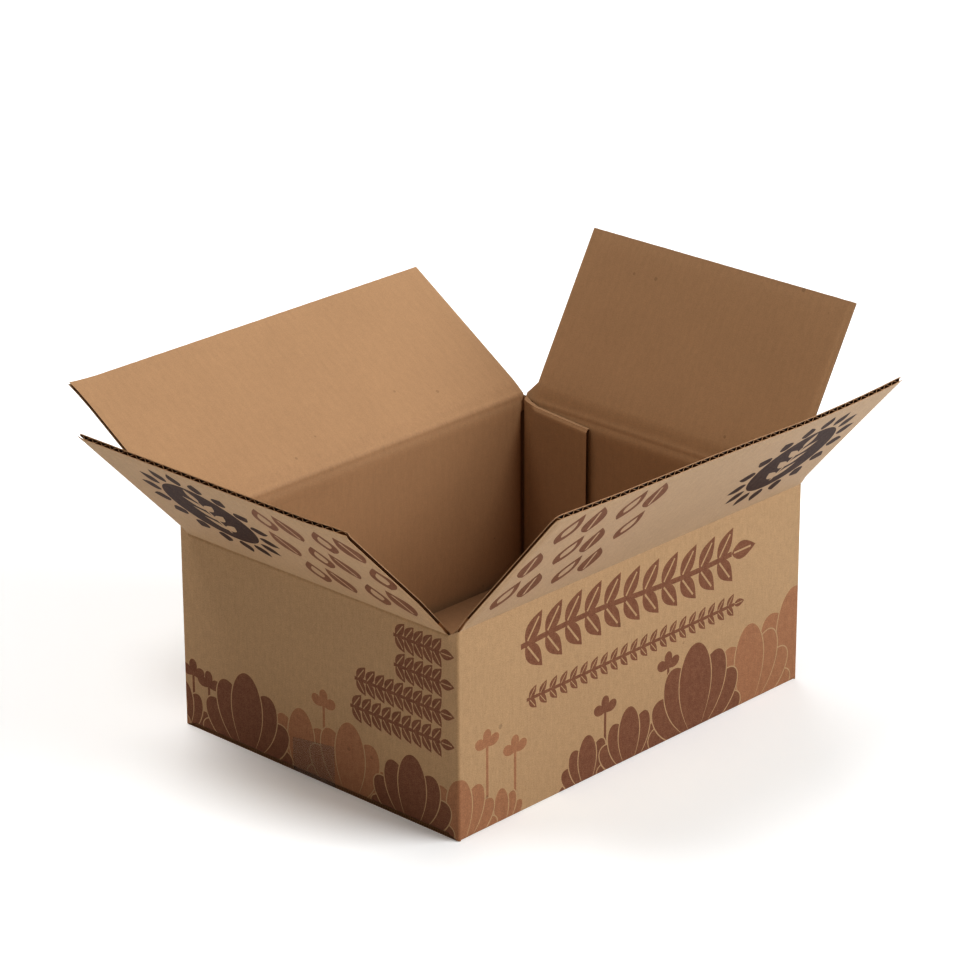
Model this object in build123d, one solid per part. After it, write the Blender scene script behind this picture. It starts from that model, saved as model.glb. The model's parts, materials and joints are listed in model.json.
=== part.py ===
from build123d import *
import os
from math import atan2, ceil, cos, pi

# A slotted carton of single-wall fluted board, lying open with its four top flaps folded out.
# The origin is in the middle of the underside. X runs along the box, Y across it and Z up.
# Every size is in millimetres and every angle in degrees.

# Clear inside of the box
inner_length = 305.0
inner_width = 229.0
inner_depth = 127.0

# The board: two flat liners with a waved sheet glued between them
board = 3.8
liner = 0.4
medium = 0.3
flute_pitch = 7.7
steps_per_flute = 8
glue_depth = 0.05

# Folds
layer_gap = 0.3
crease_gap = 0.15
crush_thickness = 1.6
crush_length = 8.5
crush_ramp = 3.5
corner_radius = 2.5
foot_radius = 1.5

# Slots cut between the flaps. They are taken out of the end flaps. At the joint the back flap
# stops with its wall, short of the right wall's board.
slot_width = 8.0
long_flap_trim = 1.8
joint_trim = 3.0
meeting_gap = 0.6

# Glue tab, folded in from the back wall and glued inside the right end wall
tab_width = 57.0
tab_slope = 2.9
tab_foot_slope = 8.0
joint_gap = 0.4
gusset_width = 3.6
gusset_height = 6.5

# Clear tape along the seam of the bottom, with a tail up each end wall
tape_width = 36.0
tape_thickness = 0.1
tape_tail = 25.0
tape_shift = 3.5

# How far each flap leans out from upright, as the box stands open
front_lean_angle = 40.0
back_lean_angle = 57.0
left_lean_angle = 44.0
right_lean_angle = 30.0

# Cutting tools run on past what they cut, and an edge this near to a place is at that place
overcut = 1.0
touching = 0.01

# Worked out from the sizes above
length = inner_length + 2 * board
width = inner_width + 2 * board
end_foot = board + layer_gap
floor_top = end_foot + board
rim = floor_top + inner_depth
end_rim = rim - board - layer_gap
long_reach = (width - meeting_gap) / 2
end_reach = long_reach + rim - end_rim
long_flap_width = length - 2 * long_flap_trim
end_flap_width = width - 2 * slot_width
floor_reach = long_reach + end_foot
root_length = crush_length + crush_ramp


def prism(outline, plane, amount, both=False):
    # A closed outline of points on a plane, drawn out square to it
    return extrude(plane * make_face(Polyline(*outline, close=True)), amount, both=both)


def slab(x_span, y_span, z_span):
    # A plain block between pairs of limits
    size = [high - low for low, high in (x_span, y_span, z_span)]
    middle = [(high + low) / 2 for low, high in (x_span, y_span, z_span)]
    return Pos(*middle) * Box(*size)


def flute_section(sheet_width):
    # The board cut across its flutes. X runs along the fold and Y from the outer liner inwards.
    # The waved sheet is a stepped cosine with flat crests where it is glued to the liners.
    step = flute_pitch / steps_per_flute
    crest = cos(pi / steps_per_flute)
    flank = atan2((board - 2 * liner) / crest * cos(3 * pi / steps_per_flute), step)
    sheet_height = medium / cos(flank)
    swing = (board / 2 - liner + glue_depth - sheet_height / 2) / crest
    first = -ceil(sheet_width / 2 / step) - 1
    stations = [(count + 0.5) * step for count in range(first, -first)]
    middle = [(x, board / 2 + swing * cos(2 * pi * x / flute_pitch)) for x in stations]
    upper = [(x, y + sheet_height / 2) for x, y in middle]
    lower = [(x, y - sheet_height / 2) for x, y in reversed(middle)]
    wave = make_face(Polyline(*upper, *lower, close=True))
    outer_liner = Pos(0, liner / 2) * Rectangle(sheet_width, liner)
    inner_liner = Pos(0, board - liner / 2) * Rectangle(sheet_width, liner)
    window = Pos(0, board / 2) * Rectangle(sheet_width, board)
    return (outer_liner + inner_liner + wave) & window


def crushed_root(sheet_width, gusset):
    # The strip beside the fold, where the flutes are pressed shut. It is mitred at 45 degrees, so
    # that the flap closes on the wall without meeting it. A gusset widens it towards the glue tab.
    half = sheet_width / 2
    outline = [(-half, 0), (half, 0), (half, root_length), (-half, root_length)]
    if gusset:
        outline[1:2] = [(half + gusset, 0), (half + gusset, crease_gap),
                        (half, crease_gap + gusset_height)]
    front = prism(outline, Plane.XZ, -board)
    profile = [(0, crease_gap), (crush_thickness, crease_gap + crush_thickness),
               (crush_thickness, crush_length), (board, root_length), (0, root_length)]
    return front & prism(profile, Plane.YZ, sheet_width, both=True)


def flap(sheet_width, reach, gusset=0.0):
    # One flap standing straight up from its fold, which is the X axis, with its outer face on Y = 0
    fluted = Pos(0, 0, root_length) * extrude(flute_section(sheet_width), reach - root_length)
    return crushed_root(sheet_width, gusset) + fluted


def hang(blank, turn, offset, crease_height, lean_angle):
    # Leans a flap out about its fold and carries it to its wall
    leaning = Rot(lean_angle, 0, 0) * blank
    return Rot(0, 0, turn) * Pos(0, -offset, crease_height) * leaning


def wall_ring():
    # Front, left and back walls with their folded corners, and the right wall with its raw end.
    # The corner of the joint is left open for the fold of the glue tab.
    outer = RectangleRounded(length, width, corner_radius)
    ring = extrude(outer - Rectangle(inner_length, inner_width), rim - crease_gap)
    joint = slab((length / 2 - 2 * board, length / 2 + board),
                 (width / 2 - board, width / 2 + board), (-board, rim + board))
    raw_end = slab((length / 2 - board, length / 2),
                   (width / 2 - 2 * board, width / 2 - joint_gap), (end_foot, rim - crease_gap))
    return ring - joint + raw_end


def glue_tab():
    # Folded in from the back wall, one board in from the right end wall, tapered top and foot
    outer_x = length / 2 - board
    top = end_rim - crush_thickness - layer_gap
    foot = floor_top + layer_gap
    edge = width / 2 - board
    outline = [(edge, foot), (edge, top), (edge - tab_width, top - tab_slope),
               (edge - tab_width, foot + tab_foot_slope)]
    panel = Pos(outer_x - board, 0, 0) * prism(outline, Plane.YZ, board)
    fold = slab((outer_x - board, outer_x - joint_gap), (edge, width / 2), (0, rim - crease_gap))
    outer_edge = fold.edges().filter_by(Axis.Z).group_by(Axis.X)[-1].group_by(Axis.Y)[-1]
    return panel + fillet(outer_edge, corner_radius)


def wall_mitres():
    # What is cut from the tops of the walls: a 45 degree mitre inside each fold, and on the end
    # walls all that stands above their lower fold. The right one runs on to the wall's raw end.
    cuts = []
    for side in (-1, 1):
        face = side * width / 2
        inside = face - side * board
        top = rim - crease_gap
        cuts.append(prism([(face, top), (inside, top), (inside, top - board)], Plane.YZ,
                          length, both=True))
    near = width / 2 - board
    for side, far in ((-1, near), (1, width / 2 + overcut)):
        face = side * length / 2
        inside = face - side * board
        top = end_rim - crease_gap
        beyond = face + side * overcut
        outline = [(face, top), (beyond, top), (beyond, rim + overcut),
                   (inside, rim + overcut), (inside, top - board)]
        cuts.append(Pos(0, far, 0) * prism(outline, Plane.XZ, near + far))
    return cuts


def floor_flaps():
    # Four flaps closed under the box: the two end flaps inside, and the two long ones outside them
    panels = []
    for side in (-1, 1):
        seam = side * meeting_gap / 2
        face = side * width / 2
        panels.append(slab((-length / 2, length / 2), sorted((seam, face)), (0, board)))
        end = side * length / 2
        tip = end - side * floor_reach
        panels.append(slab(sorted((tip, end)), (-end_flap_width / 2, end_flap_width / 2),
                           (end_foot, floor_top)))
    return panels


def box_body():
    # The walls, the glue tab and the closed floor: one folded sheet
    end_opening = slab((-length, length), (board - width / 2, width / 2 - board),
                       (-overcut, end_foot))
    walls = wall_ring() - end_opening
    body = walls + glue_tab()
    for panel in floor_flaps():
        body += panel
    for cut in wall_mitres():
        body -= cut
    feet = body.edges().filter_by(Axis.X).group_by(Axis.Z)[0]
    feet = feet.filter_by(lambda edge: abs(abs(edge.center().Y) - width / 2) < touching)
    body = fillet(feet, foot_radius)
    heels = body.edges().filter_by(Axis.Y).filter_by_position(Axis.Z, end_foot, end_foot)
    heels = heels.filter_by(lambda edge: abs(abs(edge.center().X) - length / 2) < touching)
    body = fillet(heels, foot_radius)
    return body - tape_strip()


def tape_strip():
    # Stuck along the seam, let into the soft board by its own thickness, and up both end walls
    end = length / 2
    outside = end + tape_thickness
    outline = [(-outside, 0), (outside, 0), (outside, tape_tail), (end, tape_tail),
               (end, tape_thickness), (-end, tape_thickness), (-end, tape_tail),
               (-outside, tape_tail)]
    return Pos(0, tape_shift, 0) * prism(outline, Plane.XZ, tape_width / 2, both=True)


long_flap = flap(long_flap_width, long_reach)
joint_long_flap = Pos(joint_trim / 2, 0, 0) * flap(long_flap_width - joint_trim, long_reach)
end_flap = flap(end_flap_width, end_reach)
joint_end_flap = flap(end_flap_width, end_reach, gusset_width)

nodes = {
    "box_body": box_body(),
    "front_flap": hang(long_flap, 0, width / 2, rim, front_lean_angle),
    "back_flap": hang(joint_long_flap, 180, width / 2, rim, back_lean_angle),
    "left_flap": hang(end_flap, -90, length / 2, end_rim, left_lean_angle),
    "right_flap": hang(joint_end_flap, 90, length / 2, end_rim, right_lean_angle),
    "bottom_tape": tape_strip(),
}

os.makedirs("parts", exist_ok=True)
for name, shape in nodes.items():
    export_step(shape, f"parts/{name}.step")
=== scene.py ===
import json
from math import atan2, ceil, cos, degrees, exp, hypot, pi, radians, sin

import bmesh
import bpy
import numpy as np
from mathutils import Matrix, Vector, noise
from mathutils.geometry import delaunay_2d_cdt


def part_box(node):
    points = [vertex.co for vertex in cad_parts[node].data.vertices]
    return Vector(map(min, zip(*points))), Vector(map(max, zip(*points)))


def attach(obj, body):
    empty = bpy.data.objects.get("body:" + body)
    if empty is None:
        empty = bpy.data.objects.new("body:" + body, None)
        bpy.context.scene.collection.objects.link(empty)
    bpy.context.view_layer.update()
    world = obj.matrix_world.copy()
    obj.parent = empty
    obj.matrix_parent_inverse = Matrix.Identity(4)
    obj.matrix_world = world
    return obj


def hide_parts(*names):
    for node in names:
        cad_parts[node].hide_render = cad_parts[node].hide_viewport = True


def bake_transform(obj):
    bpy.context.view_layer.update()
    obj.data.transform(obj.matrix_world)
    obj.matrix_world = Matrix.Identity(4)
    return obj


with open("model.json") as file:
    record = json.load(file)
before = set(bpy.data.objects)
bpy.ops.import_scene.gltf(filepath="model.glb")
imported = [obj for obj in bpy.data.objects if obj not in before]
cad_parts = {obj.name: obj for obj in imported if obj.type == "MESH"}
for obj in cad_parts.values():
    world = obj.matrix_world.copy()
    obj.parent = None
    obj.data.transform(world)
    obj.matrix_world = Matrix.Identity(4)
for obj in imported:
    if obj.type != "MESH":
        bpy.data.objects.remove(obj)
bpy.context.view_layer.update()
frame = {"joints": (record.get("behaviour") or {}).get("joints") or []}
print("frame loaded")

# Outlines and depths are in millimetres, and become metres as a mesh is written
mm = 0.001

board = {
    "thickness": 3.8,
    "liner": 0.42,
    "medium": 0.38,
    "flutePitch": 7.7,
    "fluteSteps": 12,        # columns of the waved sheet in each flute
    "fluteRows": 9,
    "edgeRecess": 0.35,      # how far the waved sheet stops short of a cut across the flutes
    "fray": 0.12,            # how uneven a cut edge is
}

bodyLow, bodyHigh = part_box("box_body")
hinges = {joint["child"]: joint for joint in frame["joints"]}


def smoothStep(t):
    t = min(max(t, 0.0), 1.0)
    return t * t * (3 - 2 * t)


def addObject(name, data):
    made = bpy.data.objects.new(name, data)
    bpy.context.scene.collection.objects.link(made)
    return made


carton = {
    "length": (bodyHigh.x - bodyLow.x) / mm,
    "width": (bodyHigh.y - bodyLow.y) / mm,
    "rim": hinges["front_flap"]["pos_m"][2] / mm,
    "endRim": hinges["left_flap"]["pos_m"][2] / mm,
    "underside": 0.12,       # the board is this high, over the thickness of the tape
    "endFoot": 4.1,          # underside of the inner bottom flaps
    "heelFoot": 2.3,         # underside of the end walls, pressed down on the outer bottom flaps
    "pressedEnd": 1.75,      # how far the outer bottom flaps are pressed there
    "pressFrom": 143.0,      # from this far out along the box
    "pressRun": 8.0,
    "floorTop": 7.9,
    "cornerRadius": 1.7,
    "insideRadius": 0.8,
    "cornerCrush": 0.5,      # dent of the inner liner beside a corner fold
    "heelRadius": 1.6,
    "slotWidth": 8.0,
    "rootDepth": 10.0,       # how far a flap's own sheet reaches down its wall
    "tabGroove": 1.9,        # the tab's fold is open on the inside by this depth
    "tabWidth": 57.0,
    "tabTop": 126.2,
    "tabShoulder": 129.8,
    "tabNeck": 132.2,
    "tabFoot": 16.2,
    "shoulderRun": 11.0,     # from the fold to the tab's shoulder, to its neck and to its pressed top
    "neckRun": 4.0,
    "pressGap": 3.0,
    "tabPress": 1.3,
    "tabPressRun": 2.4,
    "rawGap": 0.4,
    "longTrim": 1.8,
    "jointTrim": 4.8,
    "edgeGap": 0.05,
    "seamGap": 0.3,
    "innerReach": 122.1,     # how far the inner bottom flaps reach in from the end walls
}


# Camera at the photograph's place

cameraPlace = {
    "azimuth": -46.429,
    "elevation": 22.017,
    "roll": -0.211,
    "distance": 2.4713,
    "right": -0.00891,
    "up": 0.13979,
    "focalPixels": 3899.4,
    "framePixels": 960.0,
    "sensor": 36.0,
}


def addCamera(place):
    azimuth, elevation, roll = (radians(place[k]) for k in ("azimuth", "elevation", "roll"))
    back = Vector((sin(azimuth) * cos(elevation), -cos(azimuth) * cos(elevation), sin(elevation)))
    right = Vector((cos(azimuth), sin(azimuth), 0))
    up = back.cross(right)
    camera = addObject("camera", bpy.data.cameras.new("camera"))
    camera.data.sensor_width = place["sensor"]
    camera.data.lens = place["focalPixels"] / place["framePixels"] * place["sensor"]
    camera.data.clip_start, camera.data.clip_end = 0.05, 50
    spot = back * place["distance"] + right * place["right"] + up * place["up"]
    rolledRight = right * cos(roll) + up * sin(roll)
    rolledUp = up * cos(roll) - right * sin(roll)
    axes = Matrix((rolledRight, rolledUp, back)).transposed().to_4x4()
    camera.matrix_world = Matrix.Translation(spot) @ axes
    bpy.context.scene.camera = camera


addCamera(cameraPlace)


# Nodes of materials and of the waved sheet

def feed(tree, node, given):
    # Each input is given a plain value, or the output that feeds it
    for slot, value in given.items():
        if isinstance(value, bpy.types.NodeSocket):
            tree.links.new(value, node.inputs[slot])
        else:
            node.inputs[slot].default_value = value


def addNode(tree, kind, given, **settings):
    made = tree.nodes.new(kind)
    for name, value in settings.items():
        setattr(made, name, value)
    feed(tree, made, given)
    return made


def addMath(tree, operation, *values):
    return addNode(tree, "ShaderNodeMath", dict(enumerate(values)), operation=operation).outputs[0]


def addNoise(tree, vector, scale, detail, roughness):
    given = {"Vector": vector, "Scale": scale, "Detail": detail, "Roughness": roughness}
    return addNode(tree, "ShaderNodeTexNoise", given).outputs["Fac"]


def flatPlace(tree, scale):
    # The place of each point on the flat blank, stretched to give a noise its grain
    blank = addNode(tree, "ShaderNodeAttribute", {}, attribute_name="blank")
    given = {"Vector": blank.outputs["Vector"], "Scale": scale}
    return addNode(tree, "ShaderNodeMapping", given).outputs["Vector"]


def newMaterial(name, given):
    made = bpy.data.materials.new(name)
    made.use_nodes = True
    feed(made.node_tree, made.node_tree.nodes["Principled BSDF"], given)
    return made


def addRelief(made, height, strength, distance):
    tree = made.node_tree
    given = {"Height": height, "Strength": strength, "Distance": distance}
    normal = addNode(tree, "ShaderNodeBump", given).outputs["Normal"]
    feed(tree, tree.nodes["Principled BSDF"], {"Normal": normal})


# Soft studio light over a pale floor

plainWhite = (1.0, 1.0, 1.0)
coolWhite = (0.95, 0.99, 1.02)
warmWhite = (1.0, 0.93, 0.72)

# Each lamp's place, size, power and colour
lamps = {
    "keyLamp": ((1.0, -3.2, 2.2), 1.4, 57.0, coolWhite),
    "sideLamp": ((2.2, -2.6, 2.2), 1.4, 53.0, coolWhite),
    "leftLamp": ((-3.2, -0.9, 1.0), 1.4, 9.0, warmWhite),
    "backLamp": ((1.2, 2.8, 3.0), 3.0, 47.0, plainWhite),
    "topLamp": ((-0.8, 0.7, 3.1), 1.4, 35.0, plainWhite),
}

studio = {
    "aim": (0.0, 0.0, 0.1),
    "ambient": 0.15,
    "floorColour": (0.93, 0.93, 0.93, 1),
    "floorRoughness": 0.9,
    "floorGlow": 0.08,
    "floorSize": 12.0,
    "look": "High Contrast",
}


def addStudio(s):
    for name, (place, size, power, colour) in lamps.items():
        lamp = addObject(name, bpy.data.lights.new(name, "AREA"))
        lamp.data.size, lamp.data.energy, lamp.data.color = size, power, colour
        lamp.location = place
        lamp.rotation_euler = (Vector(place) - Vector(s["aim"])).to_track_quat("Z", "Y").to_euler()
    world = bpy.data.worlds.new("studioWorld")
    world.use_nodes = True
    sky = world.node_tree
    feed(sky, sky.nodes["Background"], {"Color": (*plainWhite, 1), "Strength": s["ambient"]})
    bpy.context.scene.world = world
    half = s["floorSize"] / 2
    mesh = bpy.data.meshes.new("floor")
    corners = [(-half, -half, 0), (half, -half, 0), (half, half, 0), (-half, half, 0)]
    mesh.from_pydata(corners, [], [(0, 1, 2, 3)])
    floor = addObject("floor", mesh)
    mesh.materials.append(newMaterial("floorPaint", {
        "Base Color": s["floorColour"], "Roughness": s["floorRoughness"],
        "Emission Color": (*plainWhite, 1), "Emission Strength": s["floorGlow"],
    }))


addStudio(studio)
bpy.context.scene.view_settings.view_transform = "Standard"
bpy.context.scene.view_settings.look = studio["look"]
print("camera and light made")


# Materials. Every pattern is read from the flat blank, which the attribute "blank" keeps.

kraft = {
    "outside": (0.352, 0.230, 0.129),
    "inside": (0.388, 0.239, 0.135),
    # The waved sheet's paper is painted far darker than the liners, as painted shade for the flute
    # holes. The same dark paper paints shade on the floor's cut rims and on the flaps' core.
    "flute": (0.190, 0.084, 0.032),
    "cutEdge": (0.350, 0.212, 0.120),
    "brownInk": (0.94, (0.168, 0.074, 0.046)),      # how well the ink covers, and its colour
    "rustInk": (0.72, (0.262, 0.112, 0.062)),
    "greyInk": (0.99, (0.042, 0.022, 0.020)),
    "roughness": 0.62,
    "specular": 0.15,
    "sheen": 0.12,
    "inkSmooth": 0.08,       # ink is smoother and duller than paper by these shares of its cover
    "inkDull": 0.6,
    "upright": (1, 0.16, 1),
    "cloud": ((22.0, 3, 0.55), 0.05),     # a noise, and the share by which it shades the paper
    "mottle": ((260, 4, 0.62), 0.13),
    "fibre": ((700, 3, 0.6), 0.14),
    "hair": ((1300, 2, 0.5), 0.30),
    # Colour share of the stripes over the flutes, a painted shade of the washboard ridges
    "washShadeShare": 0.006,
    "specks": (95, 0.16, 0.90, 0.20),    # scale, size, how rare and how dark
    "washRelief": 0.25,
    "fibreRelief": 0.7,
    "hairRelief": 0.9,
    "relief": (0.8, 0.00005),
}


def centred(tree, value, share):
    # 1 plus or minus a share, from a noise that runs from 0 to 1
    return addMath(tree, "MULTIPLY_ADD", value, 2 * share, 1 - share)


def paperMaterial(name, colour, inkCover=0.0, ink=(0, 0, 0), streaks=1.0, grain=1.0, sheen=1.0):
    made = newMaterial(name, {
        "Roughness": kraft["roughness"] - kraft["inkSmooth"] * inkCover,
        "Specular IOR Level": kraft["specular"] * (1 - kraft["inkDull"] * inkCover),
        "Sheen Weight": kraft["sheen"] * (1 - inkCover) * sheen,
    })
    tree = made.node_tree
    even, upright = flatPlace(tree, (1, 1, 1)), flatPlace(tree, kraft["upright"])
    shade, noises = 1.0, []
    for name, flat, level in (("cloud", even, 1.0), ("mottle", even, grain),
                              ("fibre", upright, grain), ("hair", even, grain)):
        settings, share = kraft[name]
        noises.append(addNoise(tree, flat, *settings))
        shade = addMath(tree, "MULTIPLY", shade, centred(tree, noises[-1], share * level))
    _, mottle, fibre, hair = noises
    # Stripes over the flutes: the colour takes them as painted shade of the washboard ridges, and the
    # relief takes them as their bump
    along = addNode(tree, "ShaderNodeSeparateXYZ", {0: even}).outputs[0]
    wash = addMath(tree, "COSINE", addMath(tree, "MULTIPLY", along, 2 * pi / (board["flutePitch"] * mm)))

    scale, size, rare, dark = kraft["specks"]
    cells = addNode(tree, "ShaderNodeTexVoronoi", {"Scale": scale, "Vector": even}).outputs
    tint = addNode(tree, "ShaderNodeSeparateXYZ", {0: cells["Color"]}).outputs
    near = addMath(tree, "LESS_THAN", cells["Distance"], addMath(tree, "MULTIPLY", tint[0], size))
    speck = addMath(tree, "MULTIPLY", near, addMath(tree, "GREATER_THAN", tint[1], rare))

    for value, share in ((wash, kraft["washShadeShare"] * streaks), (speck, -dark)):
        shade = addMath(tree, "MULTIPLY", shade, addMath(tree, "MULTIPLY_ADD", value, share, 1.0))

    def shaded(paint):
        given = {0: paint, "Scale": shade}
        return addNode(tree, "ShaderNodeVectorMath", given, operation="SCALE").outputs[0]

    base = shaded(colour)
    if inkCover:
        # Ink thins out where the fibres stand up, and lets the board through
        thin = addMath(tree, "MULTIPLY_ADD", mottle, -0.30, 1.14)
        gap = addMath(tree, "MULTIPLY_ADD", hair, -0.40, 1.18)
        cover = addMath(tree, "MULTIPLY", addMath(tree, "MULTIPLY", thin, gap), inkCover)
        cover.node.use_clamp = True
        given = {"Factor": cover, 4: base, 5: shaded(ink)}
        base = addNode(tree, "ShaderNodeMix", given, data_type="VECTOR").outputs[1]
    feed(tree, tree.nodes["Principled BSDF"], {"Base Color": base})

    relief = addMath(tree, "MULTIPLY_ADD", wash, kraft["washRelief"] * streaks, 0.5)
    relief = addMath(tree, "MULTIPLY_ADD", fibre, kraft["fibreRelief"], relief)
    relief = addMath(tree, "MULTIPLY_ADD", hair, kraft["hairRelief"], relief)
    addRelief(made, relief, *kraft["relief"])
    return made


outsidePaper = paperMaterial("kraftOutside", kraft["outside"])
insidePaper = paperMaterial("kraftInside", kraft["inside"], grain=0.55)
# The dark flute paper: painted shade of the flute holes, of the floor's rims and of the flaps' core
fluteAndShadePaper = paperMaterial("kraftFluteAndShade", kraft["flute"], streaks=0.0, sheen=0.0)
edgePaper = paperMaterial("kraftCutEdge", kraft["cutEdge"], streaks=0.0)
inkOrder = ("bare", "brown", "rust", "grey")
outsideSet = [outsidePaper]
for ink in inkOrder[1:]:
    outsideSet.append(paperMaterial(ink + "Print", kraft["outside"], *kraft[ink + "Ink"]))
print("paper and inks made")


# Outlines of the print, in millimetres on the flat blank. Each is an ink and a closed outline.


leafSteps, petalSteps, discSteps = 12, 14, 48


def turned(points, place, angle):
    c, s = cos(radians(angle)), sin(radians(angle))
    return [(place[0] + x * c - y * s, place[1] + x * s + y * c) for x, y in points]


def leafOutline(span, girth):
    # A pointed leaf from its stalk at the origin along +X
    sides = ((1, np.linspace(0, 1, leafSteps)), (-1, np.linspace(1, 0, leafSteps)[1:-1]))
    return [(span * t, side * girth / 2 * sin(pi * t ** 0.8)) for side, steps in sides for t in steps]


def bandOutline(spine, girth):
    # A strip of even girth along a line of points
    points = np.array(spine, float)
    along = np.gradient(points, axis=0)
    along /= np.linalg.norm(along, axis=1)[:, None]
    across = np.stack([-along[:, 1], along[:, 0]], 1) * girth / 2
    left = [tuple(p) for p in points + across]
    right = [tuple(p) for p in (points - across)[::-1]]
    return left + right


def printLeaf(ink, place, angle, span, girth, vein=0.0):
    shapes = [(ink, turned(leafOutline(span, girth), place, angle))]
    if vein:
        line = [(span * t, 0.0) for t in np.linspace(0.10, 0.80, 6)]
        shapes.append(("bare", turned(bandOutline(line, vein), place, angle)))
    return shapes


def printOutlineLeaf(ink, place, angle, span, girth, stroke):
    inner = leafOutline(span - 3.2 * stroke, girth - 2 * stroke)
    inner = [(x + 1.6 * stroke, y) for x, y in inner]
    return [(ink, turned(leafOutline(span, girth), place, angle)),
            ("bare", turned(inner, place, angle))]


def petalOutline(span, girth):
    # A leaf with a round tip, from its stalk at the origin along +X
    wide = 0.60
    rise = [t / wide for t in np.linspace(0, wide, petalSteps)]
    upper = [(span * wide * r, girth / 2 * sin(pi / 2 * r) ** 0.9) for r in rise]
    for k in range(1, petalSteps):
        angle = pi / 2 * k / (petalSteps - 1)
        upper.append((span * (wide + (1 - wide) * sin(angle)), girth / 2 * cos(angle)))
    return upper + [(x, -y) for x, y in reversed(upper[1:-1])]


def printFan(ink, place, span, girth, angles, gap):
    # Round leaves that spread from one foot, each with a bare rim, the middle one in front
    middle = angles[len(angles) // 2]
    shapes = []
    for angle in sorted(angles, key=lambda a: -abs(a - middle)):
        share = 1 - 0.30 * abs(angle - middle) / 70
        size = (span * share, girth * share)
        rim = petalOutline(size[0] + gap, size[1] + 2 * gap)
        shapes.append(("bare", turned(rim, place, angle)))
        shapes.append((ink, turned(petalOutline(*size), place, angle)))
    return shapes


def printSprout(ink, place, height, span, girth, stem):
    # A stalk with three round leaves at its top
    top = (place[0], place[1] + height)
    shapes = [(ink, bandOutline([place, top], stem))]
    for angle in (25, 155, 90):
        shapes.append((ink, turned(petalOutline(span, girth), top, angle)))
    return shapes


def printGarland(ink, start, end, span, girth, pairs, stem, spread, sag=0.0, vein=0.11):
    # A stem with pairs of leaves, one to each side, and a last leaf at its tip
    run = (end[0] - start[0], end[1] - start[1])
    reach = hypot(*run)
    heading = degrees(atan2(run[1], run[0]))

    def spot(t):
        return (start[0] + run[0] * t, start[1] + run[1] * t + sag * sin(2 * pi * t))

    last = 1 - 0.8 * span / reach
    shapes = [(ink, bandOutline([spot(last * k / 24) for k in range(25)], stem))]
    for k in range(pairs):
        place = spot((k + 0.25) / pairs * last)
        for side in (-1, 1):
            shapes += printLeaf(ink, place, heading + side * spread, span, girth, vein=girth * vein)
    shapes += printLeaf(ink, spot(last), heading, span, girth, vein=girth * vein)
    return shapes


def printSeal(ink, centre, radius):
    # A disc in a ring of leaves, with a sprig left bare in it
    shapes = []
    for angle in np.arange(0, 360, 22.5):
        foot, = turned([(radius * 1.04, 0)], centre, angle)
        shapes += printLeaf(ink, foot, angle, radius * 0.44, radius * 0.30)
    turns = [2 * pi * k / discSteps for k in range(discSteps)]
    shapes.append((ink, turned([(radius * cos(t), radius * sin(t)) for t in turns], centre, 0)))
    start, end = ((centre[0], centre[1] + radius * share) for share in (-0.74, 0.82))
    leaf = (radius * 0.52, radius * 0.21)
    return shapes + printGarland("bare", start, end, *leaf, 3, radius * 0.07, 48, vein=0.0)


# The walls as one strip, from the free edge of the glue tab round to the raw end of the right wall

halfLength, halfWidth = carton["length"] / 2, carton["width"] / 2
thickness = board["thickness"]
tabFold = carton["tabWidth"] + thickness             # where the tab folds off the back wall
backLeft = tabFold + carton["length"] - thickness    # back and left walls meet
frontLeft = backLeft + carton["width"]               # left and front walls meet
frontRight = frontLeft + carton["length"]            # front and right walls meet
rawEnd = frontRight + carton["width"] - carton["rawGap"]
tabRoot = carton["tabWidth"]
tabShoulder = tabRoot - carton["shoulderRun"]
cornerSteps = 6


def wallStations():
    # Place along the strip, with the outer and the inner face there
    tabFace = halfLength - thickness - carton["edgeGap"]
    start = (tabFace, halfWidth - tabFold)
    turns = [(tabFold, (tabFace, halfWidth)), (backLeft, (-halfLength, halfWidth)),
             (frontLeft, (-halfLength, -halfWidth)), (frontRight, (halfLength, -halfWidth))]
    end = (halfLength, halfWidth - carton["rawGap"])
    points = [start] + [spot for _, spot in turns] + [end]
    ways = [np.subtract(b, a) / np.hypot(*np.subtract(b, a)) for a, b in zip(points, points[1:])]
    outward = [np.array((way[1], -way[0])) for way in ways]
    bend, pinch = carton["cornerRadius"], carton["insideRadius"]
    rows = []

    def addRow(place, outer, inner):
        rows.append((place, *outer, *inner))

    def addDents(place, spot, way, out, dents):
        for along, share in dents:
            outer = spot + way * along
            addRow(place + along, outer, outer - out * (thickness - carton["cornerCrush"] * share))

    addRow(0.0, np.array(start), np.array(start) - outward[0] * thickness)
    for k, (place, spot) in enumerate(turns):
        before, after = outward[k], outward[k + 1]
        spot = np.array(spot)
        dents, pocketDepth = ((11.0, 0.0), (8.0, 0.55), (6.4, 1.0)), thickness + pinch
        if k == 0:
            dents = ((9.0, 0.0), (5.6, 0.0), (4.7, carton["tabGroove"] / carton["cornerCrush"]))
            pocketDepth = thickness - carton["tabGroove"]
        addDents(place, spot, ways[k], before, [(-along, share) for along, share in dents])
        centre = spot - (before + after) * bend
        pocket = spot - (before + after) * pocketDepth
        for step in range(cornerSteps + 1):
            angle = step / cornerSteps * pi / 2
            way = before * cos(angle) + after * sin(angle)
            along = place - bend + 2 * bend * step / cornerSteps
            addRow(along, centre + way * bend, pocket + way * pinch)
        addDents(place, spot, ways[k + 1], after, reversed(dents))
    addRow(rawEnd, np.array(end), np.array(end) - outward[-1] * thickness)
    return np.array(rows)


stations = wallStations()
slot = carton["slotWidth"]
postHalf = carton["cornerRadius"]
heel = carton["heelRadius"]
heelEnd = heel * (1 - pi / 2)
postGap = postHalf + carton["edgeGap"]
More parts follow.
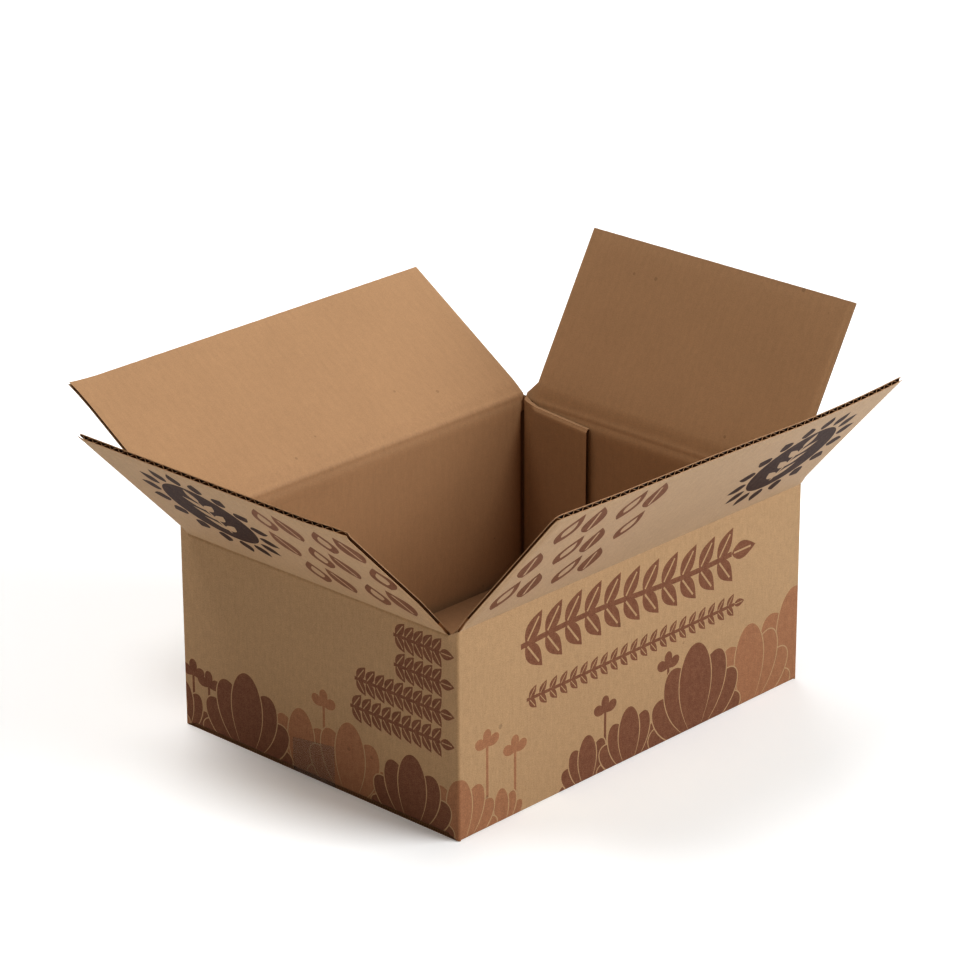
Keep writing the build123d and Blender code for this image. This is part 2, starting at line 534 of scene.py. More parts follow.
# The stretches of the strip whose foot is folded under: start, end and height of the fold
heels = [
    (tabFold + postGap, backLeft - postGap, carton["underside"]),
    (backLeft + slot, frontLeft - slot, carton["heelFoot"]),
    (frontLeft + postGap, frontRight - postGap, carton["underside"]),
    (frontRight + slot, rawEnd - slot + carton["rawGap"], carton["heelFoot"]),
]


def foldWalls(place, height, depth):
    # From the flat strip to the folded box: along, up and in from the outer face, in millimetres
    columns = [np.interp(place, stations[:, 0], stations[:, k]) for k in range(1, 5)]
    outer, inner = Vector(columns[:2] + [0]), Vector(columns[2:] + [0])
    inward = (inner - outer) / thickness
    for start, end, foot in heels:
        if start - 0.001 <= place <= end + 0.001 and height < foot + heel:
            angle = min((foot + heel - height) / heel, pi / 2)
            shift = heel * (1 - cos(angle)) + depth * cos(angle)
            rise = foot + heel * (1 - sin(angle)) + depth * sin(angle)
            return outer + inward * shift + Vector((0, 0, rise))
    return outer + inward * depth + Vector((0, 0, height))


def wallFaces(place, height):
    # Depths of the outer and the inner face. The top of the glue tab is pressed thin by its cut.
    end = tabRoot - carton["pressGap"]
    if place > end:
        return 0.0, thickness
    rise = carton["tabShoulder"] - carton["tabTop"]
    top = carton["tabTop"] + rise * min(place / tabShoulder, 1)
    pressed = smoothStep(1 - (top - height) / carton["tabPressRun"]) * smoothStep((end - place) / 6)
    return 0.2 * pressed, thickness - carton["tabPress"] * pressed


# Thin sheets cut from a flat outline and folded to their place

def cutNet(outline, rules, shapes):
    # Triangles of a flat outline, split along the rule lines and the print, with an ink for each
    points, edges, faces = [], [], []

    def addLoop(loop):
        # A loop that runs clockwise is turned round
        area = sum(a[0] * b[1] - b[0] * a[1] for a, b in zip(loop, loop[1:] + loop[:1]))
        first = len(points)
        points.extend(Vector(p) for p in (loop if area > 0 else loop[::-1]))
        faces.append(list(range(first, len(points))))

    inks = ["bare"] + [ink for ink, _ in shapes]
    for loop in [outline] + [loop for _, loop in shapes]:
        addLoop(loop)
    for start, end in rules:
        points.extend((Vector(start), Vector(end)))
        edges.append((len(points) - 2, len(points) - 1))
    spots, _, cells, _, _, owners = delaunay_2d_cdt(points, edges, faces, 0, 1e-4)
    triangles, colours = [], []
    for cell, owner in zip(cells, owners):
        if 0 in owner and len(cell) == 3:
            triangles.append(tuple(cell))
            colours.append(inkOrder.index(inks[max(owner)]))
    used = sorted({k for triangle in triangles for k in triangle})
    index = {old: new for new, old in enumerate(used)}
    triangles = [tuple(index[k] for k in triangle) for triangle in triangles]
    return [tuple(spots[k]) for k in used], triangles, colours


sharpAngle = 32


class SheetBook:
    # Collects the folded sheets that make one piece

    def __init__(self):
        self.spots, self.flat, self.faces, self.colours = [], [], [], []

    def addSpot(self, fold, spot, origin):
        u, v, w = spot
        self.spots.append(fold(u, v, w) * mm)
        self.flat.append(((u + origin[0]) * mm, (v + origin[1]) * mm, w * mm))

    def addFace(self, corners, colour):
        self.faces.append(tuple(corners))
        self.colours.append(colour)

    def addSheet(self, net, fold, outer, inner, paint=(None, 0, 0), origin=(0, 0)):
        # A closed thin sheet. Its depths are numbers, or functions of the flat place. Its paint is
        # the paper of its face, back and rim, and a face of None keeps its print.
        spots, triangles, inks = net
        first, count = len(self.spots), len(spots)
        for depth in (outer, inner):
            for u, v in spots:
                self.addSpot(fold, (u, v, depth(u, v) if callable(depth) else depth), origin)
        face, back, rim = paint
        edges = {}
        for triangle, ink in zip(triangles, inks):
            a, b, c = (first + k for k in triangle)
            self.addFace((a, b, c), ink if face is None else face)
            self.addFace((a + count, c + count, b + count), back)
            edges.update(dict.fromkeys(((a, b), (b, c), (c, a))))
        for a, b in edges:
            if (b, a) not in edges:
                self.addFace((b, a, a + count, b + count), rim)

    def addLiner(self, net, fold, faces, side, paint=(None, 0, 0), origin=(0, 0)):
        # The outer liner, on side 0, or the inner one, on side 1, of board with the given faces
        def surface(u, v):
            return faces(u, v)[side]

        def glued(u, v):
            return surface(u, v) + (1 - 2 * side) * board["liner"]

        depths = (glued, surface) if side else (surface, glued)
        self.addSheet(net, fold, *depths, paint, origin)

    def addMesh(self, mesh, fold):
        # A mesh made flat, with X along, Y up and Z in, in millimetres. Its cut ends face along Y.
        first = len(self.spots)
        for vertex in mesh.vertices:
            self.addSpot(fold, vertex.co, (0, 0))
        for polygon in mesh.polygons:
            self.addFace((first + k for k in polygon.vertices), int(abs(polygon.normal.y) > 0.9))

    def finish(self, name, materials):
        mesh = bpy.data.meshes.new(name)
        mesh.from_pydata([tuple(p) for p in self.spots], [], self.faces)
        for material in materials:
            mesh.materials.append(material)
        mesh.polygons.foreach_set("material_index", self.colours)
        blank = mesh.attributes.new("blank", "FLOAT_VECTOR", "POINT")
        blank.data.foreach_set("vector", np.array(self.flat, np.float32).ravel())
        tidy = bmesh.new()
        tidy.from_mesh(mesh)
        bmesh.ops.recalc_face_normals(tidy, faces=tidy.faces)
        tidy.to_mesh(mesh)
        tidy.free()
        mesh.polygons.foreach_set("use_smooth", [True] * len(mesh.polygons))
        mesh.set_sharp_from_angle(angle=radians(sharpAngle))
        return addObject(name, mesh)


def gridRules(uLow, uHigh, vLow, vHigh, step):
    # Rule lines that keep the triangles of a flat panel compact
    rules = []
    for k in range(1, ceil((uHigh - uLow) / step)):
        rules.append(((uLow + k * step, vLow), (uLow + k * step, vHigh)))
    for k in range(1, ceil((vHigh - vLow) / step)):
        rules.append(((uLow, vLow + k * step), (uHigh, vLow + k * step)))
    return rules


# The waved sheet between the liners, as a tree of nodes


weld = 0.001


def waveTree():
    tree = bpy.data.node_groups.new("wavedSheet", "GeometryNodeTree")
    sockets = {}
    for name, kind in (("Width", "Float"), ("Reach", "Float"), ("Columns", "Int"), ("Rows", "Int")):
        made = tree.interface.new_socket(name, in_out="INPUT", socket_type="NodeSocket" + kind)
        sockets[name] = made.identifier
    tree.interface.new_socket("Geometry", in_out="OUTPUT", socket_type="NodeSocketGeometry")
    given = addNode(tree, "NodeGroupInput", {}).outputs
    grid = addNode(tree, "GeometryNodeMeshGrid", {
        "Size X": given["Width"], "Size Y": given["Reach"],
        "Vertices X": given["Columns"], "Vertices Y": given["Rows"],
    })
    spot = addNode(tree, "GeometryNodeInputPosition", {}).outputs[0]
    along = addNode(tree, "ShaderNodeSeparateXYZ", {0: spot}).outputs[0]
    turns = addMath(tree, "MULTIPLY", addMath(tree, "DIVIDE", along, board["flutePitch"]), 2 * pi)
    swing = (thickness - 2 * board["liner"]) / 2 - board["medium"] / 2
    rise = addMath(tree, "MULTIPLY", addMath(tree, "COSINE", turns), swing)
    offset = addNode(tree, "ShaderNodeCombineXYZ", {2: rise}).outputs[0]
    wave = {"Geometry": grid.outputs["Mesh"], "Offset": offset}
    wave = addNode(tree, "GeometryNodeSetPosition", wave).outputs[0]
    thick = {"Mesh": wave, "Offset Scale": board["medium"], "Individual": False}
    lifted = addNode(tree, "GeometryNodeExtrudeMesh", thick).outputs["Mesh"]
    back = addNode(tree, "GeometryNodeFlipFaces", {"Mesh": wave}).outputs[0]
    both = addNode(tree, "GeometryNodeJoinGeometry", {0: lifted})
    tree.links.new(back, both.inputs[0])
    both = {"Geometry": both.outputs[0], "Distance": weld}
    welded = addNode(tree, "GeometryNodeMergeByDistance", both)
    addNode(tree, "NodeGroupOutput", {0: welded.outputs[0]})
    return tree, sockets


waves, waveSockets = waveTree()


def wavedPiece(name, width, reach, rows, *folds):
    # A flat waved sheet in millimetres, centred on its place, and folded to each of its places
    holder = addObject("waveHolder", bpy.data.meshes.new("waveHolder"))
    modifier = holder.modifiers.new("wave", "NODES")
    modifier.node_group = waves
    columns = int(round(width / board["flutePitch"] * board["fluteSteps"])) + 1
    for socket, value in (("Width", width), ("Reach", reach), ("Columns", columns), ("Rows", rows)):
        modifier[waveSockets[socket]] = value
    bpy.context.view_layer.update()
    shaped = holder.evaluated_get(bpy.context.evaluated_depsgraph_get())
    flat = bpy.data.meshes.new_from_object(shaped)
    holder.modifiers.remove(modifier)
    bpy.data.objects.remove(holder)
    flat.transform(Matrix.Translation((0, 0, thickness / 2 - board["medium"] / 2)))
    sheets = SheetBook()
    for fold in folds:
        sheets.addMesh(flat, fold)
    # The waved sheet's faces take the dark flute paper, painted shade of the flute holes, and its cut
    # ends take the lighter cut-edge paper
    return sheets.finish(name, [fluteAndShadePaper, edgePaper])


# Walls, glue tab and the folds at their feet

rim, endRim, rootDepth = carton["rim"], carton["endRim"], carton["rootDepth"]
postTop = rim - 0.15
slotTop = endRim - 0.1
longTrim, jointTrim = carton["longTrim"], carton["jointTrim"]
floorLine = carton["floorTop"] + 0.4


def wallTop():
    # The top of the strip, from the tab to the raw end, with a step down at each flap's root
    points = [(0, carton["tabTop"]), (tabShoulder, carton["tabShoulder"]),
              (tabRoot - carton["neckRun"], carton["tabNeck"]), (tabRoot, postTop)]
    longStep, endStep = (postTop, rim - rootDepth), (slotTop, endRim - rootDepth)
    for start, end, (top, low), corner in (
            (tabFold + jointTrim - thickness, backLeft - longTrim, longStep, (backLeft, postTop)),
            (backLeft + slot, frontLeft - slot, endStep, (frontLeft, postTop)),
            (frontLeft + longTrim, frontRight - longTrim, longStep, (frontRight, postTop)),
            (frontRight + slot, rawEnd + carton["rawGap"] - slot, endStep, (rawEnd, slotTop))):
        points += [(start, top), (start, low), (end, low), (end, top), corner]
    return points


topLine = wallTop()
topPlaces, topHeights = zip(*topLine)


def wallFoot():
    # The foot of the outer face, from the raw end back to the tab, with its folds and slots
    foot = carton["underside"] + carton["edgeGap"]
    points = [(rawEnd, carton["heelFoot"] + 0.1)]
    for (start, end, height), corner in zip(reversed(heels), (frontRight, frontLeft, backLeft, tabFold)):
        lift = height + 0.1 if height > heel else foot
        fold, top = height + heelEnd, height + heel
        points += [(end + 0.1, lift), (end, top), (end, fold), (start, fold), (start, top),
                   (start - 0.1, lift), (corner, foot)]
    return points + [(tabRoot, foot), (tabRoot, floorLine), (0, carton["tabFoot"])]


def between(faces, share):
    return faces[0] + (faces[1] - faces[0]) * share / thickness


def wallRules():
    rules = [((place, -5), (place, rim + 5)) for place in stations[:, 0]]
    for start, end, foot in heels:
        heights = [foot + heel - heel * pi / 2 * step / 8 for step in range(9)] + [foot + heel + 0.8]
        rules += [((start, height), (end, height)) for height in heights]
    for back in (0, 0.8, 1.6, 2.4, 4):
        rules.append(((-1, carton["tabTop"] - back), (tabShoulder, carton["tabShoulder"] - back)))
    corners = (0, tabFold, backLeft, frontLeft, frontRight, rawEnd)
    for start, end in zip(corners, corners[1:]):
        rules += gridRules(start + 12, end - 12, 10, rim - 11, 24)
    return rules


# Where the middle of each wall lies on the strip, and which way the wall's own X or Y runs along it
wallMiddles = {
    "front": (frontLeft + halfLength, 1),
    "left": (backLeft + halfWidth, -1),
    "right": (frontRight + halfWidth, 1),
    "back": (backLeft - halfLength, -1),
}


def flapOrigin(flap):
    # Where the middle of its crease lies on the strip
    return wallMiddles[flap.removesuffix("_flap")][0], flapPlans[flap]["crease"]


def onWall(wall, along, height):
    middle, way = wallMiddles[wall]
    return (middle + way * along, height)


# Along the foot of each wall, each ink has fans, by place, height and width, and sprouts, by place,
# foot and height. Garlands have a start, an end, and what printGarland asks for. The back and the
# right wall, which the photograph doesn't show, carry the band on.
wallPrints = {
    "front": {
        "rust": (((-157, 36, 19), (-120, 22, 12), (152, 66, 34), (108, 54, 28)),
                 ((-132, 12, 42), (-108, 12, 30))),
        "brown": (((-44, 30, 16), (-6, 36, 19), (56, 58, 30)), ((-28, 10, 30), (30, 20, 30))),
        "garlands": (((-103, 108), (107, 109), 23.0, 12.0, 11, 3.6, 52, 2.2),
                     ((-98, 72), (100, 72.5), 9.8, 5.2, 21, 2.2, 50)),
    },
    "left": {
        "rust": (((14, 44, 23), (-28, 48, 25), (-119, 40, 21)), ((-6, 30, 22),)),
        "brown": (((119, 30, 16), (62, 52, 27), (-80, 44, 23)), ((96, 12, 20), (110, 16, 20))),
        "garlands": [((run - 113.0, height), (-113.0, height), 11.8, 6.8, pairs, 2.2, 52)
                     for height, run, pairs in ((118.0, 47.0, 5), (98.8, 47.0, 5),
                                                (79.6, 80.0, 9), (60.4, 84.0, 9))],
    },
    "right": {
        "rust": (((-76, 40, 21), (18, 50, 26), (-2, 30, 16)), ((38, 14, 30),)),
        "brown": (((-44, 30, 16), (58, 44, 23), (92, 34, 18)), ((-22, 10, 28),)),
        "garlands": (),
    },
    "back": {
        "rust": (((136, 44, 23), (30, 52, 27), (-4, 34, 18), (-128, 40, 21)),
                 ((10, 14, 34), (-106, 12, 26))),
        "brown": (((98, 54, 28), (64, 34, 18), (-72, 50, 26), (-38, 30, 16)), ((80, 12, 30),)),
        "garlands": (),
    },
}

band = {
    "angles": (20, 43, 67, 90, 113, 137, 160),
    "gap": 0.9,
    "sink": 8.0,
    "sproutLeaf": (11.0, 7.0),
    "sproutStem": 2.0,
}


def printWall(wall, p):
    # Fans of leaves that rise from the foot, with a few sprouts between them, and garlands above
    shapes = []
    for ink in ("rust", "brown"):
        fans, sprouts = p[ink]
        for along, base, height in sprouts:
            foot = onWall(wall, along, base)
            shapes += printSprout(ink, foot, height, *band["sproutLeaf"], band["sproutStem"])
        for along, span, girth in fans:
            foot = onWall(wall, along, -band["sink"])
            shapes += printFan(ink, foot, span + band["sink"], girth, band["angles"], band["gap"])
    for start, end, *leaves in p["garlands"]:
        shapes += printGarland("brown", onWall(wall, *start), onWall(wall, *end), *leaves)
    return shapes


wallPrint = [shape for wall, p in wallPrints.items() for shape in printWall(wall, p)]

# A piece has the four papers of the outside, then the inside, and then those of its cuts
insideSlot, cutSlot, rawSlot = 4, 5, 6


def capTab(sheets):
    # The cut top of the glue tab is crushed shut. The strip runs along the tab and across its board.
    low, high, margin = 0.1, tabRoot - 0.4, 0.2

    def fold(u, v, w):
        height = np.interp(u, topPlaces, topHeights) - 0.04 - w
        return foldWalls(u, height, between(wallFaces(u, height), v))

    outline = [(low, margin), (high, margin), (high, thickness - margin), (low, thickness - margin)]
    rules = [((place, -1), (place, 5)) for place in (12, 24, 36, 44, 46, 48, *range(50, 57))]
    sheets.addSheet(cutNet(outline, rules, []), fold, 0, 0.3, (cutSlot, cutSlot, cutSlot))


def buildWalls():
    sheets = SheetBook()
    outer = cutNet(topLine + wallFoot(), wallRules(), wallPrint)
    sheets.addLiner(outer, foldWalls, wallFaces, 0)
    innerFoot = [(rawEnd, 4.0), (tabRoot, 4.0), (tabRoot, floorLine), (0, carton["tabFoot"])]
    inner = cutNet(topLine + innerFoot, wallRules(), [])
    sheets.addLiner(inner, foldWalls, wallFaces, 1, (insideSlot, insideSlot, cutSlot))
    capTab(sheets)
    return sheets.finish("walls", outsideSet + [insidePaper, edgePaper])


def buildWallWaves():
    # The waved sheet of the whole strip, kept a little inside the edges
    reach, recess = 100.0, board["edgeRecess"]

    def fold(u, v, w):
        place = u + rawEnd / 2
        high = np.interp(place, topPlaces, topHeights) - recess
        low = carton["tabFoot"] + recess if place < tabRoot else carton["endFoot"] + 2.2
        height = low + (high - low) * (v / reach + 0.5)
        return foldWalls(place, height, between(wallFaces(place, height), w))

    return wavedPiece("wall_flutes", rawEnd - 1.0, reach, board["fluteRows"], fold)


walls = buildWalls()
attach(walls, "box")
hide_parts("box_body")
wallWaves = buildWallWaves()
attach(wallWaves, "box")
print("walls folded")


# The closed floor: two outer flaps that meet along the middle, and two inner ones over them

def foldFloor(x, y, height):
    return Vector((x, y, height))


def floorFaces(x, y):
    # Lower and upper face of the outer bottom flaps, which the end walls press down
    pressed = smoothStep((abs(x) - carton["pressFrom"]) / carton["pressRun"])
    return carton["underside"], thickness - carton["pressedEnd"] * pressed


def buildFloor():
    sheets = SheetBook()
    liner = board["liner"]
    edge, ends, half = halfLength - 0.35, halfLength - postGap, halfWidth - slot
    grid = gridRules(-150, 150, -110, 110, 30)
    across = [((x, -halfWidth), (x, halfWidth)) for x in (-152, -149, -146, -143, 143, 146, 149, 152)]
    for side in (-1, 1):
        seam, face = side * carton["seamGap"], side * (halfWidth - heel)
        corner, wall = side * (halfWidth - heel - 0.3), side * (halfWidth - thickness)
        # The cut rims of the bottom flaps take the dark flute paper in the cut slot, a painted shade
        # along the foot of the box
        net = cutNet([(-edge, seam), (edge, seam), (edge, corner), (ends, face), (-ends, face),
                      (-edge, corner)], grid, [])
        sheets.addLiner(net, foldFloor, floorFaces, 0, (None, 0, cutSlot))
        net = cutNet([(-edge, seam), (edge, seam), (edge, wall), (-edge, wall)], across, [])
        sheets.addLiner(net, foldFloor, floorFaces, 1, (insideSlot, insideSlot, cutSlot))
    for side in (-1, 1):
        tip = side * (halfLength - carton["innerReach"])
        for start, depth, colour in ((halfLength - heel, carton["endFoot"], 0),
                                     (halfLength - thickness, carton["floorTop"] - liner, insideSlot)):
            outline = [(tip, -half), (side * start, -half), (side * start, half), (tip, half)]
            net = cutNet(outline, grid, [])
            sheets.addSheet(net, foldFloor, depth, depth + liner, (colour, colour, colour))
    return sheets.finish("floor_flaps", outsideSet + [insidePaper, fluteAndShadePaper])


def buildFloorWaves():
    depth = 30.0
    tip = halfLength - carton["innerReach"] + board["edgeRecess"] + depth / 2

    def foldSide(side):
        return lambda u, v, w: Vector((side * (tip - v), u, carton["endFoot"] + w))

    return wavedPiece("floor_flutes", 2 * (halfWidth - slot) - 1.0, depth, 2, foldSide(-1), foldSide(1))


floorFlaps = buildFloor()
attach(floorFlaps, "box")
floorWaves = buildFloorWaves()
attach(floorWaves, "box")
print("floor laid")


# The four top flaps. Each is one sheet from a little below its fold to its free edge.

crease = {
    "halfBend": 1.0,         # the outer face bends within this distance of the crease
    "scoreHalf": 0.7,
    "below": 4.2,            # the inside is pressed this far down the wall
    "pressEdge": 8.0,        # the edges draw in over this run up from the crease
    "pinchRun": 5.0,         # a side edge is pressed thinner over this width
    "freeRun": 9.0,          # and a free edge over this one
    "blendHalf": 1.3,
    "waveStart": 11.8,       # the waved sheet begins this far up
}

# score is the depth of the pressed line outside the crease, press the depth of the one inside, and
# above how far that one reaches up. At the side edges and at the free edge, low, high and free are
# how far the outer and the inner face draw in. The waved sheet stops short by waves at the sides.
longFlap = {"face": halfWidth, "crease": rim, "reach": 118.0, "score": 0.22, "above": 6.5}
endFlap = {"face": halfLength, "crease": endRim, "reach": 122.1, "score": 0.55,
           "span": (-halfWidth + slot, halfWidth - slot)}
flapPlans = {
    "front_flap": {**longFlap, "along": (1, 0), "press": 1.5,
                   "span": (-halfLength + longTrim, halfLength - longTrim),
                   "low": (0.70, 0.85), "high": (0.8, 0.7), "free": (0.35, 0.55), "waves": (1.0, 0.5)},
    "back_flap": {**longFlap, "along": (-1, 0), "press": 1.3,
                  "span": (-halfLength + jointTrim, halfLength - longTrim),
                  "low": (0.3, 0.3), "high": (1.1, 0.2), "free": (0.35, 0.35), "waves": (1.6, 1.6)},
    "left_flap": {**endFlap, "along": (0, -1), "press": 1.5, "above": 6.5,
                  "low": (0.8, 0.8), "high": (0.55, 0.65), "free": (0.35, 0.60), "waves": (0.7, 1.0)},
    "right_flap": {**endFlap, "along": (0, 1), "press": 1.9, "above": 7.5,
                   "low": (1.3, 1.1), "high": (0.4, 0.4), "free": (0.35, 0.35), "waves": (1.6, 1.6)},
}

# The front flap sags a little between its ends: places along it, and how far its free edge drops
frontSag = ((-154, -100, -25, 15, 35, 55, 75, 95, 115, 135, 154),
            (0.0, 1.6, 2.3, 3.0, 3.6, 4.1, 4.2, 4.0, 3.6, 2.9, 2.0))


def flapAxes(flap):
    # Its lean, the ways along the fold, out and up, and the place of its crease. The flap closes
    # 90 degrees inwards from upright, so the rest of its travel is its lean.
    plan = flapPlans[flap]
    lean = radians(-hinges[flap]["range_deg"][0] - 90)
    along, up = Vector((*plan["along"], 0)), Vector((0, 0, 1))
    out = along.cross(up)
    return lean, along, out, up, out * plan["face"] + up * plan["crease"]


def flapFaces(flap, u, v):
    # Depths of the outer and the inner face of a flap's board
    plan = flapPlans[flap]
    low, high = plan["span"]
    run = plan["above"] if v > 0 else crease["below"]
    outer = plan["score"] * exp(-(v / crease["scoreHalf"]) ** 2)
    inner = thickness - plan["press"] * exp(-(v / run) ** 2)
    gaps = (("low", u - low, "pinchRun"), ("high", high - u, "pinchRun"),
            ("free", plan["reach"] - v, "freeRun"))
    drawn = [0.0, 0.0]
    for side, gap, width in gaps:
        share = smoothStep(1 - max(gap, 0) / crease[width]) * smoothStep((v - 1) / crease["pressEdge"])
        drawn = [max(depth, draw * share) for depth, draw in zip(drawn, plan[side])]
    outer += drawn[0]
    return outer, max(inner - drawn[1], outer + 2 * board["liner"] + 0.3)


def foldFlap(flap):
    bend = crease["halfBend"]
    lean, along, out, up, base = flapAxes(flap)
    leaned = out * sin(lean) + up * cos(lean)

    def place(u, v, w):
        u, v, w = worn(flap, u, v, w)
        if v <= -bend:
            spot, angle = up * v, 0.0
        elif v >= bend:
            spot, angle = leaned * v, lean
        else:
            t = (v + bend) / (2 * bend)
            spot = up * (-bend * (1 - t) ** 2) + leaned * (bend * t * t)
            angle = atan2(t * sin(lean), (1 - t) + t * cos(lean))
        inward = -out * cos(angle) + up * sin(angle)
        return base + along * u + spot + inward * w

    return place


# A worn corner, at the end or the start of U, and how far U, V and W move there within a radius
wornCorners = {
    "front_flap": (-1, (0.8, 8.0), (-1.6, 8.0), (0.0, 8.0)),
    "back_flap": (1, (1.6, 22.0), (1.4, 22.0), (0.2, 26.0)),
    "left_flap": (1, (0.0, 12.0), (-4.2, 12.0), (0.9, 9.0)),
}


def worn(flap, u, v, w):
    # Corners are blunt or flare. The left flap bends in near one side, and the front one sags.
    if flap not in wornCorners:
        return u, v, w
    reach, half = flapPlans[flap]["reach"], flapPlans[flap]["span"][1]
    side, *moves = wornCorners[flap]
    near = hypot(half - side * u, reach - v)
    moveU, moveV, moveW = (move * max(0.0, 1 - near / radius) ** 2 for move, radius in moves)
    if flap == "left_flap":
        curl = smoothStep((u - half + 30) / 30) * smoothStep((v - 8) / 30)
        w += 1.2 * curl - 0.2 * smoothStep(v / reach)
    v += moveV
    if flap == "front_flap":
        w -= np.interp(u, *frontSag) * (max(v, 0.0) / reach) ** 1.4
    return u + moveU, v, w + moveW


def frayed(u, v, seed):
    # How far a cut edge wanders at a place along it
    spot = Vector((u * 0.35, v * 0.35, seed))
    return board["fray"] * (noise.noise(spot) + 0.5 * noise.noise(spot * 4.1))


def flapRules(span, reach):
    low, high = span

    def level(v):
        return ((low - 1, v), (high + 1, v))

    steps = (-9.2, -7.5, -6, -5, -4, -3, -2.2, -1.6, -1.2, -0.8, -0.4, 0, 0.4, 0.8, 1.2, 1.6, 2.2,
             *range(3, 12), crease["waveStart"])
    rules = [level(v) for v in steps]
    columns = [low + k * 15 for k in range(1, ceil((high - low) / 15))]
    rules += [((u, -9.5), (u, reach + 1)) for u in columns]
    rules += [level(v) for v in (24, 37, 50, 63, 76, 88, 99)]
    rules += [level(reach - back) for back in (1.5, 3, 4.5, 6.5, 9)]
    for side in (1.2, 2.5, 3.8, 5, 8):
        rules += [((u, 0), (u, reach + 1)) for u in (low + side, high - side)]
    return rules


# The right flap widens towards the glue tab's fold
gussetEdge = [(0, 7.1), (3.8, 6.9), (7.5, 3.9), (12.6, 0)]


def edgeLoop(flap, seed):
    # An outline with a point every few millimetres of its free edge, which wanders a little
    (low, high), top = flapPlans[flap]["span"], flapPlans[flap]["reach"]
    count = ceil((high - low) / 3)
    loop = [(low, -rootDepth), (high, -rootDepth)]
    if flap == "right_flap":
        loop += [(high, 0)] + [(high + out, v) for v, out in gussetEdge]
    edge = [high + (low - high) * k / count for k in range(count + 1)]
    return loop + [(u, top + frayed(u, top, seed)) for u in edge]


flapPrint = {
    "leaf": (30.0, 17.0),
    "stroke": 4.2,
    "vein": 1.8,
    "frontField": (-139, 15, 26.0),
    "frontSeal": (95, 60),
    "leftField": (22, 15, 24.5),
    "leftSeal": (-38, 67),
    "rowPitch": 34.0,
    "sealRadius": 33.0,
}


def printFlap(p, field, seal):
    # Three rows of leaves, outlined and solid by turns, and a round seal
    shapes = []
    u0, v0, pitch = field
    for row in range(3):
        for column in range(4):
            foot = (u0 + column * pitch + 3 * row, v0 + row * p["rowPitch"])
            if (row + column) % 2:
                shapes += printLeaf("brown", foot, 100, *p["leaf"], p["vein"])
            else:
                shapes += printOutlineLeaf("brown", foot, 80, *p["leaf"], p["stroke"])
    return shapes + printSeal("grey", seal, p["sealRadius"])


flapShapes = {flap + "_flap": printFlap(flapPrint, flapPrint[flap + "Field"], flapPrint[flap + "Seal"])
              for flap in ("front", "left")}


def printRoot(flap):
    # The part of the wall's print that lies on the flap's own sheet, below its fold
    low, high = flapPlans[flap]["span"]
    middle, height = flapOrigin(flap)
    shapes = []
    for ink, loop in wallPrint:
        moved = [(x - middle, y - height) for x, y in loop]
        if max(y for _, y in moved) > -rootDepth and low < moved[0][0] < high:
            shapes.append((ink, moved))
    return shapes


def buildFlap(flap, seed):
    plan, liner, inset = flapPlans[flap], board["liner"], board["edgeRecess"]
    (low, high), reach = plan["span"], plan["reach"]
    place = foldFlap(flap)
    origin = flapOrigin(flap)
    rules = flapRules(plan["span"], reach)
    sheets = SheetBook()

    def faces(u, v):
        return flapFaces(flap, u, v)

    outer = cutNet(edgeLoop(flap, seed), rules, printRoot(flap) + flapShapes.get(flap, []))
    sheets.addLiner(outer, place, faces, 0, (None, 0, rawSlot), origin)
    inner = cutNet(edgeLoop(flap, seed + 9), rules, [])
    sheets.addLiner(inner, place, faces, 1, (insideSlot, insideSlot, rawSlot), origin)
    waveStart, foot = crease["waveStart"], 0.1 - rootDepth
    # The core between the liners near the crease takes the dark flute paper all round, a painted shade
    # between the liners at the flap's side edges
    core = cutNet([(low + inset, foot), (high - inset, foot), (high - inset, waveStart),
                   (low + inset, waveStart)], rules, [])
    sheets.addSheet(core, place, lambda u, v: faces(u, v)[0] + liner,
                    lambda u, v: faces(u, v)[1] - liner, (cutSlot, cutSlot, cutSlot), origin)
    piece = sheets.finish(flap + "_board", outsideSet + [insidePaper, fluteAndShadePaper, edgePaper])
    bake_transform(piece)
    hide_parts(flap)

    waveLow, waveHigh = low + plan["waves"][0], high - plan["waves"][1]
    rise = reach - waveStart - inset

    def foldWave(u, v, w):
        u, v = u + (waveLow + waveHigh) / 2, v + waveStart + rise / 2
        return place(u, v, between(faces(u, v), w))

    ribs = wavedPiece(flap + "_flutes", waveHigh - waveLow, rise, board["fluteRows"], foldWave)
    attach(ribs, flap)


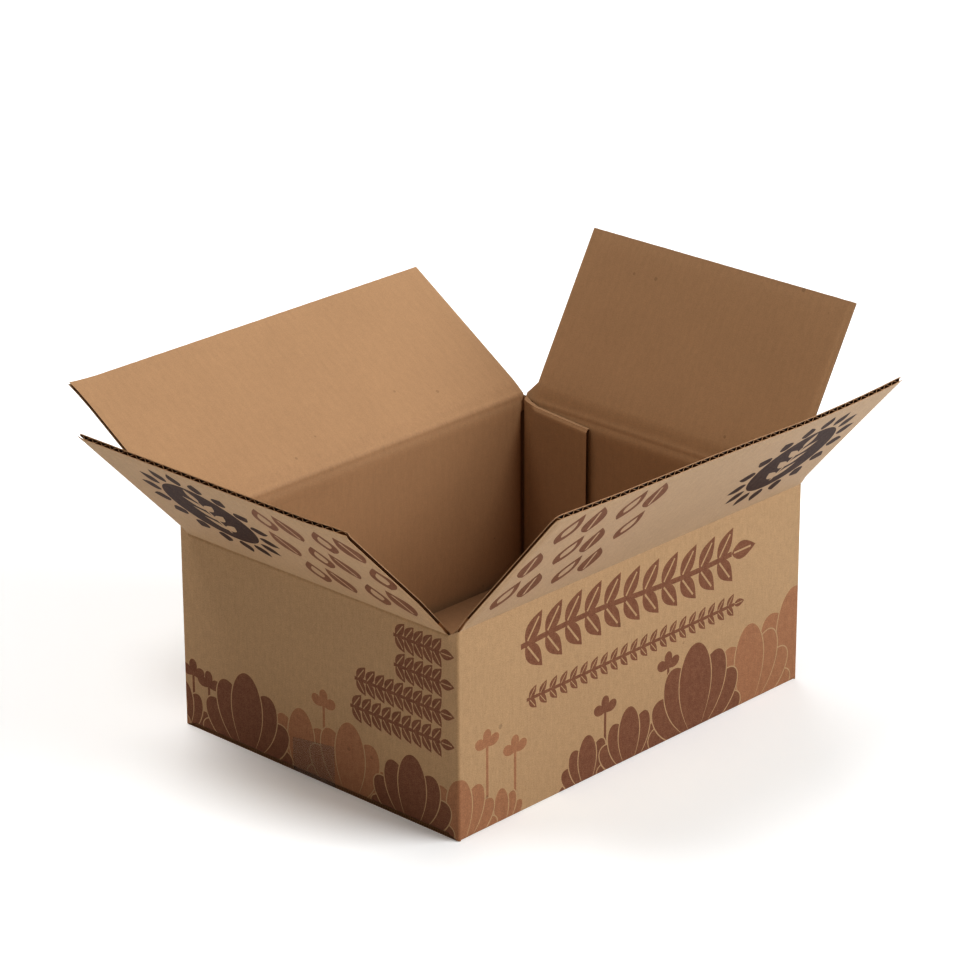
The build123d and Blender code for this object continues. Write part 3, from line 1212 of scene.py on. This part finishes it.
for number, flapName in enumerate(flapPlans):
    buildFlap(flapName, 20.0 * number)
print("flaps hung")


# Clear tape under the seam, with a tail up each end wall

tape = {
    "width": 36.0,
    "shift": 3.5,
    "outer": -0.02,
    "inner": 0.20,           # its back is let into the board, so that one face is seen
    "nearTop": 27.7,
    "farTop": 22.8,
    "bend": 0.8,
    "off": 0.05,             # its tails stand this far off the walls
    "low": 0.02,             # and its strip this far over the floor
    "colour": (0.22, 0.15, 0.12, 1),
    "roughness": 0.28,
    "alpha": 0.25,
    "stretch": (0.06, 1, 1),
    "wrinkle": (260, 1, 0.5),
    "relief": (0.15, 0.0001),
}


def tapeMaterial():
    made = newMaterial("clearTape", {
        "Base Color": tape["colour"], "Roughness": tape["roughness"], "Alpha": tape["alpha"],
    })
    flat = flatPlace(made.node_tree, tape["stretch"])
    addRelief(made, addNoise(made.node_tree, flat, *tape["wrinkle"]), *tape["relief"])
    return made


def buildTape():
    # Flat, the tape runs along U from the top of one tail to the top of the other
    half = tape["width"] / 2
    low, high = tape["shift"] - half, tape["shift"] + half
    face = halfLength + tape["off"]
    bend, lift = tape["bend"], tape["low"]
    run = face - bend
    arc = bend * pi / 2

    def fold(u, v, w):
        side = 1 if u > 0 else -1
        along = abs(u)
        if along <= run:
            return Vector((side * along, v, lift + w))
        if along <= run + arc:
            angle = (along - run) / bend
            inner = bend - w
            return Vector((side * (run + inner * sin(angle)), v, lift + bend - inner * cos(angle)))
        return Vector((side * (face - w), v, lift + bend + along - run - arc))

    near, far = (run + arc - bend + tape[top] for top in ("nearTop", "farTop"))
    places = [side * (run + arc * step / 6) for side in (-1, 1) for step in range(7)]
    rules = [((place, low - 1), (place, high + 1)) for place in places]
    rules += gridRules(-run, run, low, high, 12)
    sheets = SheetBook()
    net = cutNet([(-near, low), (near, low), (far, high), (-far, high)], rules, [])
    sheets.addSheet(net, fold, tape["outer"], tape["inner"])
    return sheets.finish("tape_strip", [tapeMaterial()])


tapeStrip = buildTape()
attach(tapeStrip, "box")
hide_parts("bottom_tape")
print("tape stuck")
